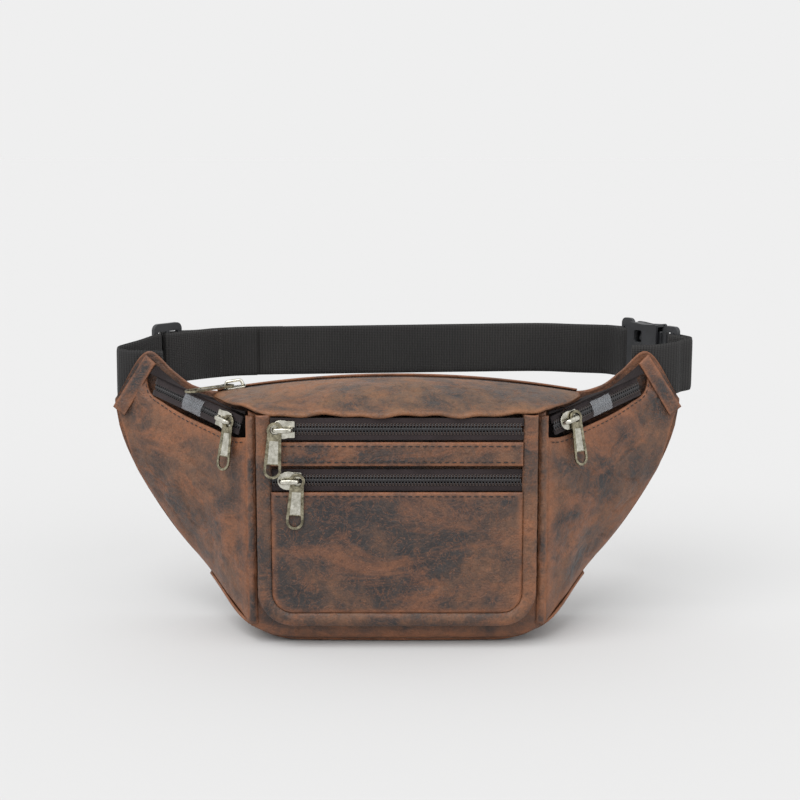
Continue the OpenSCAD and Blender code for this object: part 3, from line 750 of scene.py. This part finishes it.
def zip_chain(name, fr, x0, x1, tape):
    """Interlocked coil teeth, their sewing thread and the two tapes."""
    teeth, heads, sewn = [], [], []
    n = int((x1 - x0) / PITCH)
    for i in range(n):
        for s in (-1, 1):
            x = x0 + 0.8 + (i + (0.5 if s > 0 else 0)) * PITCH
            if x > x1 - 0.6:
                continue
            up = fr(x, 0, 1) - fr(x, 0, 0)
            teeth.append((fr(x - 0.2, -s * 0.4, 0.1), fr(x + 0.35, s * 3.75, 0.0), 0.80, up))
            heads.append((fr(x - 0.1, -s * 1.15, 0.42), fr(x + 0.05, s * 1.0, 0.42), 0.86, up))
            sewn.append((fr(x + PITCH / 2 - 0.85, s * 2.55, 0.62),
                fr(x + PITCH / 2 + 0.85, s * 2.55, 0.62), 0.52, up))
            sewn.append((fr(x + PITCH / 2 - 0.8, s * 3.6, 0.42), fr(x + PITCH / 2 + 0.8, s * 3.6, 0.42),
                0.40, up))
    own(rods(name + "_zip_teeth", teeth, MAT["coil"], n=8, m=6, flat=1.35), "pack", name + "_zip_coil",
        slot="coil")
    own(rods(name + "_zip_heads", heads, MAT["coil"], n=8, m=6), "pack", slot="coil")
    own(rods(name + "_zip_sewing", sewn, MAT["sewing"], n=6, m=4), "pack")
    for k, (a, b) in enumerate(((2.2, tape[1]), (-tape[0], -2.2))):
        def fn(u, v, a=a, b=b):
            return fr(x0 + (x1 - x0) * u, a + (b - a) * v, 0.35)
        ob = panel(name + "_zip_tape_%d" % k, fn, max(30, int((x1 - x0) / 2)), 8, TAPE_T, MAT["tape"],
            ripple=0.12, size=9, seed=70 + k, roll=0.1, keep=FREE)
        own(ob, "pack", slot="zip_tape")
    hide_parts(name + "_zip_tape")


TAPES = {"upper": (7.4, 7.4), "lower": (7.4, 7.4), "left": (6.0, 7.0), "right": (6.0, 7.0),
    "main": (8.5, 6.8)}
for key, (fr, x0, x1) in ZIPS.items():
    zip_chain(key, fr, x0, x1, TAPES[key])


def extruded(name, loops, z0, z1, fr, material, bevel=0.35, segments=3):
    """A plate from closed outlines (the first is outside, the rest are holes), placed with fr and bevelled."""
    import bmesh
    from mathutils.geometry import tessellate_polygon
    flat = [p for loop in loops for p in loop]
    tris = tessellate_polygon([[Vector((p[0], p[1], 0)) for p in loop] for loop in loops])
    n = len(flat)
    bm = bmesh.new()
    low = [bm.verts.new(fr(p[0], p[1], z0) * MM) for p in flat]
    high = [bm.verts.new(fr(p[0], p[1], z1) * MM) for p in flat]
    for t in tris:
        bm.faces.new([low[i] for i in t])
        bm.faces.new([high[i] for i in reversed(t)])
    base = 0
    for loop in loops:
        m = len(loop)
        for i in range(m):
            a, b = base + i, base + (i + 1) % m
            bm.faces.new((low[a], low[b], high[b], high[a]))
        base += m
    bmesh.ops.recalc_face_normals(bm, faces=bm.faces)
    bmesh.ops.dissolve_limit(bm, angle_limit=0.02, verts=bm.verts, edges=bm.edges)
    me = bpy.data.meshes.new(name)
    bm.to_mesh(me)
    bm.free()
    ob = bpy.data.objects.new(name, me)
    bpy.context.collection.objects.link(ob)
    me.materials.append(material)
    if bevel:
        mod = ob.modifiers.new("Bevel", "BEVEL")
        mod.width = bevel * MM
        mod.segments = segments
        mod.limit_method = "ANGLE"
        mod.angle_limit = 0.7
        mod.harden_normals = False
    me.polygons.foreach_set("use_smooth", [True] * len(me.polygons))
    smooth = ob.modifiers.new("Weighted", "WEIGHTED_NORMAL")
    smooth.keep_sharp = True
    return ob


def arc(cx, cy, r, a0, a1, n):
    return [(cx + r * math.cos(math.radians(a0 + (a1 - a0) * i / n)),
        cy + r * math.sin(math.radians(a0 + (a1 - a0) * i / n))) for i in range(n + 1)]


# The slider's plate: square lobes at the closed end, a waist, and a rounded nose
def plate_outline():
    half = [(8.0, 1.5), (8.0, 5.2), (7.6, 5.6), (3.6, 5.6), (2.2, 5.9), (0.6, 6.25), (-1.6, 6.25),
        (-4.2, 5.7), (-6.4, 4.3), (-7.7, 2.4), (-8.0, 0.9)]
    return [(x, -y) for x, y in half] + [(x, y) for x, y in reversed(half)] + [(4.8, 1.5), (4.8, -1.5)]


def slider_piece(key, fr, body):
    """fr is the slider's own frame, with the pull's leg towards its nose or its lobes."""
    # The top plate and the bridge are in the lighter brass copy, a painted highlight; the bottom plate, the lips
    # and the post are in the darker brass, painted shade under the top.
    top = extruded(key + "_slider_top", [plate_outline()], 1.75, 3.0, fr, MAT["brass_lit_copy"], 0.45)
    own(top, body, key + "_zip_slider", slot="antique_brass")
    low = extruded(key + "_slider_bottom", [plate_outline()], -3.0, -1.75, fr, MAT["brass"], 0.3)
    own(low, body, slot="antique_brass")
    for s in (-1, 1):
        lip = [(-3.5, s * 6.2), (6.8, s * 5.5), (6.8, s * 4.75), (-3.5, s * 5.3)]
        own(extruded(key + "_slider_lip_%d" % (s + 1), [lip if s < 0 else lip[::-1]], 0.7, 1.9, fr,
            MAT["brass"], 0.2, 2), body)
    post = [(3.2, -0.3), (6.2, -0.3), (6.2, 0.3), (3.2, 0.3)]
    own(extruded(key + "_slider_post", [post], -2, 2, fr, MAT["brass"], 0.05, 1), body)
    # the bridge: a rounded bar that arches from leg to leg
    n, m = 16, 28
    verts, faces = [], []
    path = []
    for i in range(m + 1):
        t = i / m
        x = -6.6 + 13.2 * t
        drop = max(0, (abs(x) - 3.9) / 2.7)
        z = 7.2 - 4.8 * drop**2.6 if drop else 7.2
        path.append((x, z))
    for i, (x, z) in enumerate(path):
        a = np.array(path[max(i - 1, 0)])
        b = np.array(path[min(i + 1, m)])
        d = (b - a) / np.linalg.norm(b - a)
        w = 1.75 - 0.35 * abs(x) / 6.6
        for q in range(n):
            t = 2 * math.pi * q / n
            yy = w * math.copysign(abs(math.cos(t)) ** 0.8, math.cos(t))
            hh = 1.05 * math.copysign(abs(math.sin(t)) ** 0.8, math.sin(t))
            verts.append(fr(x - d[1] * hh, yy, z + d[0] * hh))
    for i in range(m):
        for q in range(n):
            a, b = i * n + q, i * n + (q + 1) % n
            faces.append((a, b, b + n, a + n))
    faces.append(tuple(range(n))[::-1])
    faces.append(tuple(m * n + q for q in range(n)))
    own(mesh_object(key + "_slider_bridge", verts, faces, MAT["brass_lit_copy"]), body,
        slot="antique_brass")


PULL_L, TIP_R, EYE_R, EYE_HOLE = 33.0, 5.9, 5.2, 3.3


def pull_piece(key, fr, body):
    """fr puts the eye's centre at the origin and hangs the pull towards -y."""
    low = -PULL_L
    outer = arc(0, low + TIP_R, TIP_R, 180, 360, 22) + arc(0, 0, EYE_R, -28, 208, 24)
    hole = arc(0, 0, EYE_HOLE, 0, 360, 28)[:-1]
    finger = arc(0, low + TIP_R, 4.2, 180, 360, 18) + [(3.95, low + 9.6), (-3.95, low + 9.6)]
    window = [(-3.5, low + 10.2), (3.5, low + 10.2), (2.9, -7.4), (-2.9, -7.4)]
    # The frame is in the darker brass and the recessed plate in the lighter brass copy: a painted highlight on
    # the plate.
    frame_ob = extruded(key + "_pull_frame", [outer, hole[::-1], finger[::-1], window[::-1]], -0.65, 0.65,
        fr, MAT["brass"], 0.3)
    own(frame_ob, body, key + "_zip_pull", slot="antique_brass")
    plate = [(-3.7, low + 10.0), (3.7, low + 10.0), (3.1, -7.2), (-3.1, -7.2)]
    own(extruded(key + "_pull_plate", [plate], -0.42, 0.28, fr, MAT["brass_lit_copy"], 0.12, 2), body,
        slot="antique_brass")


def sub_frame(fr, x, z=0.0, turn=0.0, mirror=1, tilt=0.0):
    """A frame inside another, moved along x and out, turned in its plane and tilted about its y."""
    c, s = math.cos(math.radians(turn)), math.sin(math.radians(turn))
    ct, st = math.cos(math.radians(tilt)), math.sin(math.radians(tilt))

    def at(a, b, n):
        a2, b2 = a * mirror * c - b * s, a * mirror * s + b * c
        return fr(x + a2 * ct + n * st, b2, z - a2 * st + n * ct)
    return at


UX, LX, PX, EZ = -75.6, -71.6, 5.2, 4.4
slider_piece("upper", sub_frame(ZIPS["upper"][0], UX), "upper_slider")
pull_piece("upper", sub_frame(ZIPS["upper"][0], UX - PX, EZ, -4), "upper_pull")
slider_piece("lower", sub_frame(ZIPS["lower"][0], LX), "lower_slider")
pull_piece("lower", sub_frame(ZIPS["lower"][0], LX + PX, EZ, -4), "lower_pull")
slider_piece("right", sub_frame(wing_frame, 10), "right_slider")
pull_piece("right", sub_frame(wing_frame, 10 + PX, EZ, -12), "right_pull")
slider_piece("left", lambda x, y, z: wing_frame(x + 10, y, z) * MIRROR, "left_slider")
pull_piece("left", lambda x, y, z: sub_frame(wing_frame, 10 - PX, EZ, -12)(x, y, z) * MIRROR, "left_pull")
main_rest = math.radians(-8.7)


def main_frame(x, y, z):
    """A flat frame that rests on the arc at the main slider's place."""
    c, s = math.cos(main_rest), math.sin(main_rest)
    zz = z + ZR
    return np.array([x * c + zz * s, ZY + y, RIDGE - ZR - x * s + zz * c])


slider_piece("main", main_frame, "main_slider")
pull_piece("main", sub_frame(main_frame, -PX, EZ, -52, 1, 6), "main_pull")

# Clear film over the middle of each wing zip
for side, m in (("left", MIRROR), ("right", np.array([1.0, 1, 1]))):
    def film_fn(u, v, m=m):
        if m[0] < 0:
            u = 1 - u
        return wing_frame(34 + 20 * u, -5.5 + 11 * v,
            2.2 + 1.0 * math.sin(math.pi * v) + 0.25 * math.sin(9 * u + 4 * v)) * m
    own(panel(side + "_zip_film", film_fn, 24, 12, FILM_T, MAT["film"], ripple=0.4, size=6, seed=91,
        roll=0, keep=FREE), "pack")

# ---------------------------------------------------------------- belt

BELT_LOW, WEB_W, WEB_T = 160.0, 38.0, 1.6
SLIDE_AT, SLIDE_DIR, SLIDE_RISE = np.array([-173.0, 98]), np.array([0.62, 0.78]) / math.hypot(0.62,
    0.78), 1.0
BUCKLE_AT, BUCKLE_DIR, BUCKLE_RISE = np.array([197.0, 79]), np.array([-30.0, 50]) / math.hypot(30,
    50), 3.0


def mapped(pts, o, d):
    return [[o[0] + d[0] * s - d[1] * q, o[1] + d[1] * s + d[0] * q, r] for s, q, r in pts]


def rad(a):
    return math.radians(a)


WRAP_R = 3.1


def around(x, side, first, last, rise):
    """The webbing's turn round a bar at x, from one angle to the other; side is -1 where it passes towards -x."""
    step = 20 if last > first else -20
    return [[x + side * WRAP_R * math.cos(rad(a)), WRAP_R * math.sin(rad(a)), rise]
            for a in range(first, last + (1 if step > 0 else -1), step)]


def on_slide(*pts):
    """Places beside the belt slide, as (along, across) at its height."""
    return mapped([(*p, SLIDE_RISE) for p in pts], SLIDE_AT, SLIDE_DIR)


def on_buckle(*pts):
    """Places beside the buckle, as (along, across) at its height."""
    return mapped([(*p, BUCKLE_RISE) for p in pts], BUCKLE_AT, BUCKLE_DIR)


left_path = [[-168, 43.8, -6], [-182, 45.6, -6], [-193, 47.9, -6], [-200, 51, -5.5], [-202.6, 55, -5],
    [-202.3, 59, -4.5], [-200.5, 63, -4]]
left_path += mapped([[-30, -3, -1.5]], SLIDE_AT, SLIDE_DIR)
left_path += on_slide((-14, -2.7), (-10, -2.7), (-6.4, 0), (-4.9, 3.2), (-1.8, 5.3), (1.5, 5.3), (6, 4.4),
    (10, 3.2), (15, 2.8))
left_path += [[-154, 125.5, 0], [-142, 136.5, 0], [-124, 145.6, 0], [-106, 149.2, 0], [-90, 150.6, 0]]

rear_path = [[-110, 144.6, 0], [-127, 140.6, 0], [-142, 131, 0]] + on_slide((18, -5.1), (12, -5.1),
    (5, -4.2))
rear_path += mapped(around(0, -1, -80, 80, SLIDE_RISE), SLIDE_AT, SLIDE_DIR)
rear_path += on_slide((3.4, 2.2), (7, -1.2), (10, -2.9), (18, -3.2))
rear_path += [[-140.5, 133.2, 0], [-126, 143, 0], [-108, 147, 0], [-60, 150, 0.3], [0, 151, 1],
    [60, 150, 2], [110, 146, 3], [138, 138.5, 3]]
rear_path += on_buckle((66, 5), (57, 2), (50, 2.4), (46, 2.9))
rear_path += mapped(around(42, -1, 80, -80, BUCKLE_RISE), BUCKLE_AT, BUCKLE_DIR)
rear_path += on_buckle((46, -2.9), (50, -2.4), (57, -0.4), (65, 2.4))

right_path = [[168, 43.8, -2], [182, 45.6, -2], [194, 47.9, -1], [202, 50.5, 0], [205.6, 54.5, 0.6]]
right_path += mapped([[-26, -3.6, 2]], BUCKLE_AT, BUCKLE_DIR) + on_buckle((-14, -3.1))
right_path += mapped(around(-10, 1, -80, 80, BUCKLE_RISE), BUCKLE_AT, BUCKLE_DIR)
right_path += on_buckle((-14, 3.1), (-17, 2.8)) + mapped([[-25, -0.6, 2.2]], BUCKLE_AT, BUCKLE_DIR)


def ribbon(name, pts, node, wave=0.25):
    """Webbing on edge: a rounded, slightly wavy strip that follows pts = (x, y, rise)."""
    p = resample(pts, 1.3)
    d = np.gradient(p[:, :2], axis=0)
    d /= np.linalg.norm(d, axis=1, keepdims=True)
    side = np.stack([d[:, 1], -d[:, 0]], 1)
    s = np.concatenate([[0], np.cumsum(np.linalg.norm(np.diff(p, axis=0), axis=1))])
    h, t = WEB_W / 2, WEB_T / 2
    prof, across = [], []
    for v in np.linspace(-1, 1, 17):
        prof.append((h * v, t * (1 - 0.35 * abs(v) ** 8)))
    prof = [(-h, 0.25 * t)] + prof[1:-1] + [(h, 0.25 * t)]
    ring = [(z, w) for z, w in prof] + [(z, -w) for z, w in reversed(prof)]
    verts, uv, faces = [], [], []
    m = len(ring)
    for i in range(len(p)):
        for z, w in ring:
            o = wave * noise.noise(Vector((s[i] / 38, z / 30, 2.0)))
            q = p[i, :2] + side[i] * (w + o)
            verts.append([q[0], q[1], BELT_LOW + p[i, 2] + h + z])
            uv.append([s[i] * MM, (z + h) * MM])
    for i in range(len(p) - 1):
        for k in range(m):
            a, b = i * m + k, i * m + (k + 1) % m
            faces.append((a, b, b + m, a + m))
    faces.append(tuple(range(m))[::-1])
    faces.append(tuple((len(p) - 1) * m + k for k in range(m)))
    ob = mesh_object(name, verts, faces, MAT["webbing"], uv=uv)
    return own(ob, "pack", node, slot="webbing")


ribbon("left_belt", left_path, "left_webbing")
ribbon("rear_belt", rear_path, "rear_webbing", 0.1)
ribbon("right_belt", right_path, "right_webbing", 0.1)


def edge_frame(o, d, rise):
    return line_frame([o[0], o[1], BELT_LOW + rise + WEB_W / 2], [d[0], d[1], 0], [0, 0, 1],
        [d[1], -d[0], 0])


def rounded(x0, x1, half, r, n=8):
    return arc(x1 - r, half - r, r, 0, 90, n) + arc(x0 + r, half - r, r, 90, 180, n) + arc(x0 + r,
        -half + r, r, 180, 270, n) + arc(x1 - r, -half + r, r, 270, 360, n)


def plate(name, outer, holes, t, fr, body, *nodes, bevel=0.7, z=0.0):
    ob = extruded(name, [outer] + [h[::-1] for h in holes], z - t / 2, z + t / 2, fr, MAT["plastic"],
        bevel, 3)
    return own(ob, body, *nodes, slot="belt_plastic")


def bar(name, fr, x, r, half, body):
    ring = [(r * math.cos(2 * math.pi * i / 20), r * math.sin(2 * math.pi * i / 20)) for i in range(20)]
    verts = [fr(x + a, y, b) for y in (-half, half) for a, b in ring]
    faces = [(i, (i + 1) % 20, 20 + (i + 1) % 20, 20 + i) for i in range(20)]
    return own(mesh_object(name, verts, faces, MAT["plastic"]), body)


SF = edge_frame(SLIDE_AT, SLIDE_DIR, SLIDE_RISE)
plate("slide_frame", rounded(-14, 14, 26, 5), [rounded(-10, 10, 20, 1.5, 4)], 3.0, SF, "pack",
    "belt_slide", bevel=0.8)
bar("slide_bar", SF, 0, 2.0, 20.5, "pack")
BF = edge_frame(BUCKLE_AT, BUCKLE_DIR, BUCKLE_RISE)

# Female half: a waisted sleeve in two shells with a raised rim, prong windows and the belt loop
sleeve = arc(33.0, 21.4, 3, 0, 90, 6) + [(27, 24.3), (19, 23.7), (9, 24.3), (4.5, 24.9), (3, 24.2)]
sleeve = sleeve + [(x, -y) for x, y in reversed(sleeve)]
win = [rounded(19, 28, 4.5, 2.2, 5)]


def shift(loop, dy):
    return [(x, y + dy) for x, y in loop]


holes = [shift(win[0], 14.5), shift(win[0], -14.5)]
plate("female_outer_shell", sleeve, holes, 1.9, BF, "pack", "buckle_female", bevel=0.7, z=4.5)
plate("female_inner_shell", sleeve, holes, 1.9, BF, "pack", bevel=0.7, z=-4.5)
for s in (-1, 1):
    wall = [(35.4, s * 20.5), (33, s * 24.0), (27, s * 24.0), (19, s * 23.4), (9, s * 24.0),
        (4, s * 24.6), (4, s * 22.6), (19, s * 22.2), (31, s * 22.3)]
    plate("female_wall_%d" % (s + 1), wall if s < 0 else wall[::-1], [], 8.4, BF, "pack", bevel=0.4)
endwall = [(35.8, -21.5), (35.8, 21.5), (32.4, 21.5), (32.4, -21.5)]
plate("female_end", endwall, [], 8.6, BF, "pack", bevel=0.5)
plate("female_loop", rounded(34, 47.6, 26.5, 4.5), [rounded(37, 45, 20, 1.2, 4)], 2.4, BF, "pack",
    bevel=0.6)
bar("female_bar", BF, 42, 2.0, 20.5, "pack")
plate("male_frame", rounded(-16, 0, 24.5, 4), [rounded(-13, -4, 20, 1.2, 4)], 3.2, BF, "pack",
    "buckle_male", bevel=0.8)
bar("male_bar", BF, -10, 2.0, 20.5, "pack")
guide = [(-1, -3), (24, -2.6), (25, -1.6), (25, 1.6), (24, 2.6), (-1, 3)]
plate("male_guide", guide, [], 4.0, BF, "pack", bevel=0.5)
PRONG = [(1.2, 7.5), (3, 7.5), (6, 12.6), (19, 12.4), (24.6, 11), (26.4, 12.4), (24, 16.2), (19.4, 18.6),
    (19.4, 16.4), (6, 18.6), (2.6, 19.8), (1.2, 19)]
plate("prong_upper_piece", PRONG, [], 4.0, BF, "upper_prong", "buckle_prong_upper", bevel=0.45)
plate("prong_lower_piece", [(x, -y) for x, y in reversed(PRONG)], [], 4.0, BF, "lower_prong",
    "buckle_prong_lower", bevel=0.45)

# ---------------------------------------------------------------- stitching

SEAM_INSET = 4.6

front_out = (0, -1, 0)
rows = []
for z in (128.6, 139.4):
    rows.append([[-82, P_Y, z], [-27, P_Y, z], [27, P_Y, z], [82, P_Y, z]])
rows.append([[-82, P_Y, 105.4], [-27, P_Y, 105.4], [27, P_Y, 105.4], [82, P_Y, 105.4]])
stitches("pocket_stitching", rows, [front_out] * 3, "pack", pitch=4.9, length=3.1, r=0.45, sink=-0.15)

ups, rows = [], []
for s in (-1, 1):
    x = HALF - SEAM_INSET
    rows.append([[s * x, front_y(x, z) - 0.25, z] for z in np.linspace(17, 156, 16)])
    ups.append((s * 0.1, -1, 0))
stitches("seam_stitching", rows, ups, "pack", pitch=4.6, length=3.0, r=0.4, sink=-0.1)

rows, ups = [], []
for s in (-1, 1):
    m = np.array([s, 1, 1])
    line = []
    for u in np.linspace(0.04, 0.9, 24):
        a = wing_point(u, 0.975)
        line.append((a + np.array([0.0, -0.9, 0.2])) * m)
    rows.append(line)
    ups.append(np.array([s * 0.45, -0.85, 0.1]))
stitches("wing_stitching", rows, ups, "pack", pitch=4.6, length=3.0, r=0.4, sink=0.0)

rows = []
for x in (-137.0, -131.0):
    y = float(np.interp(x, [-140.5, -126], [133.2, 143])) + 1.0
    rows.append([[x, y - 2.2, z] for z in np.linspace(162.5, 196.5, 5)])
stitches("belt_stitching", rows, [(0.5, -0.85, 0)] * 2, "pack", pitch=2.6, length=1.9, r=0.3,
    material="belt_thread", sink=0.0)

# ---------------------------------------------------------------- floor, light and camera

scene = bpy.context.scene
bpy.ops.mesh.primitive_plane_add(size=900, location=(0, 0, -0.0008))
floor = bpy.context.object
floor.name = "floor"
g = Graph("floor")
floor.data.materials.append(g.mat)

PAPER = 0.863
world = bpy.data.worlds.new("world")
scene.world = world
world.use_nodes = True
world.node_tree.nodes["Background"].inputs["Color"].default_value = (PAPER, PAPER, PAPER, 1)
world.node_tree.nodes["Background"].inputs["Strength"].default_value = 1.0


def sun(name, towards, strength, angle):
    """A wide, soft, far light that shines from the direction given; returns what it adds on the floor."""
    light = bpy.data.lights.new(name, "SUN")
    light.energy = strength
    light.angle = math.radians(angle)
    ob = bpy.data.objects.new(name, light)
    bpy.context.collection.objects.link(ob)
    ob.rotation_euler = Vector(towards).to_track_quat("Z", "Y").to_euler()
    return strength * Vector(towards).normalized().z / math.pi


# The floor's own tone is chosen so that, lit, it looks the same as the background
lit = PAPER + sun("key", (-0.55, -0.75, 1.1), 2.0, 50) + sun("fill", (0.9, -0.9, 0.7), 0.8, 60)
tone = PAPER / lit
g.out(Base_Color=(tone, tone, tone), Roughness=1.0, Specular_IOR_Level=0.0)

CAMERA_AT, CAMERA_PITCH, CAMERA_LENS = (0.002, -1.042, 0.329), 9.04, 68.7
cam = bpy.data.cameras.new("camera")
cam.sensor_width = 36.0
cam.lens = CAMERA_LENS
camera = bpy.data.objects.new("camera", cam)
bpy.context.collection.objects.link(camera)
camera.location = CAMERA_AT
camera.rotation_euler = (math.radians(90 - CAMERA_PITCH), 0, 0)
scene.camera = camera
scene.view_settings.view_transform = "Standard"
